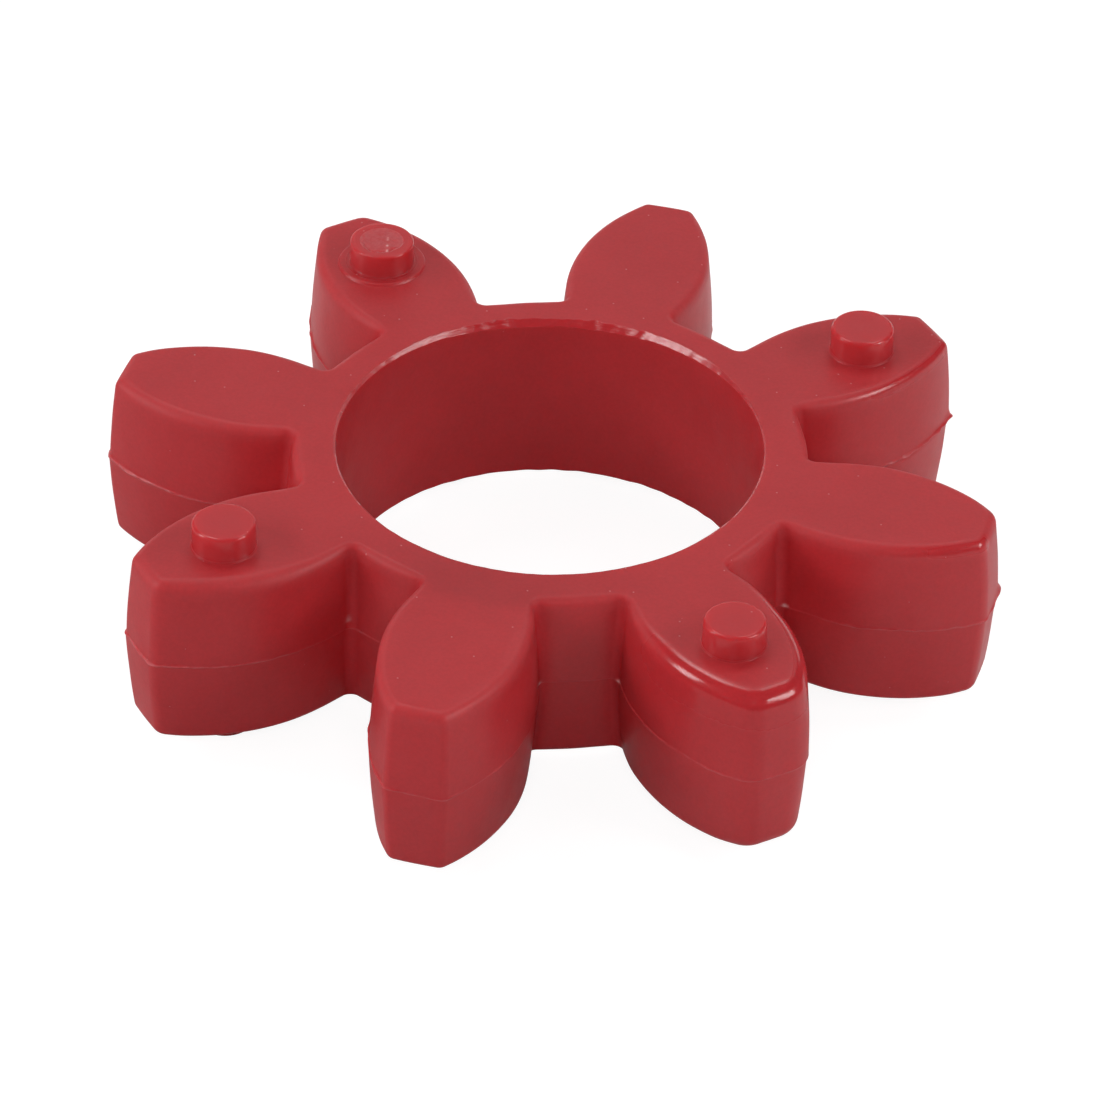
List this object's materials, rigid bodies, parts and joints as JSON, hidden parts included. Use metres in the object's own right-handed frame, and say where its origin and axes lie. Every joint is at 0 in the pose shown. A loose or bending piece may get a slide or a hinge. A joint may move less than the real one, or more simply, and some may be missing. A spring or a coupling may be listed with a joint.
{
  "type": "jaw coupling spider",
  "caption": "Elastomer insert for a jaw coupling: a ring with a through bore, barrel-shaped legs that cushion the hub jaws, and small standoff pips.",
  "frame": {"origin": "centre of the bore on the parting plane, halfway between the pip tips of the two faces", "axes": "+Z along the coupling axis, out of the face that carries the gate pip; +X through the middle of a leg that has no pips"},
  "size_m": [0.105, 0.105, 0.028],
  "materials": {
    "elastomer": "moulded red polyurethane, hazy semi-gloss, slightly translucent"
  },
  "bodies": {
    "root": {"spider": "elastomer"}
  },
  "joints": []
}
